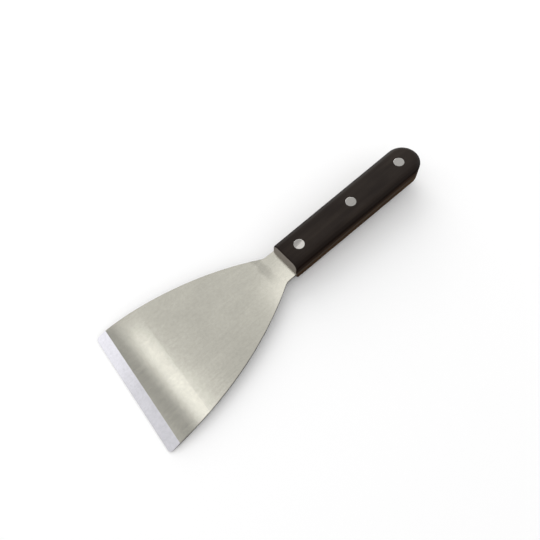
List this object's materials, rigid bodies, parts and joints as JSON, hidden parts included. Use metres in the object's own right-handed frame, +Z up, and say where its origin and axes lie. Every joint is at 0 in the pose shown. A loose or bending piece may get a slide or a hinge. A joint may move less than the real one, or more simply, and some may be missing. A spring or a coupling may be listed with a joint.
{
  "type": "grill spatula",
  "caption": "Hand grill spatula: a fan-shaped steel blade with a bent, ground straight edge and a full tang between two riveted dark wood handle scales.",
  "frame": {"origin": "bottom centre of the bounding box: halfway from the blade's edge to the butt, on the plane of symmetry, at the underside of the lower scale", "axes": "+X from the blade's edge towards the butt of the handle, +Z up through the handle from its underside to its top, +Y across the blade"},
  "size_m": [0.265, 0.094, 0.0194],
  "materials": {
    "blade_steel": "fine satin grind, with a brighter ground bevel at the edge",
    "handle_wood": "dark resin-treated hardwood with a low sheen and reddish brown streaks on its sides",
    "rivet_steel": "polished flush with the wood"
  },
  "bodies": {
    "root": {"blade": "blade_steel", "upper_scale": "handle_wood", "lower_scale": "handle_wood", "rivet_front_sleeve": "rivet_steel", "rivet_front_post": "rivet_steel", "rivet_middle_sleeve": "rivet_steel", "rivet_middle_post": "rivet_steel", "rivet_butt_sleeve": "rivet_steel", "rivet_butt_post": "rivet_steel"}
  },
  "joints": []
}
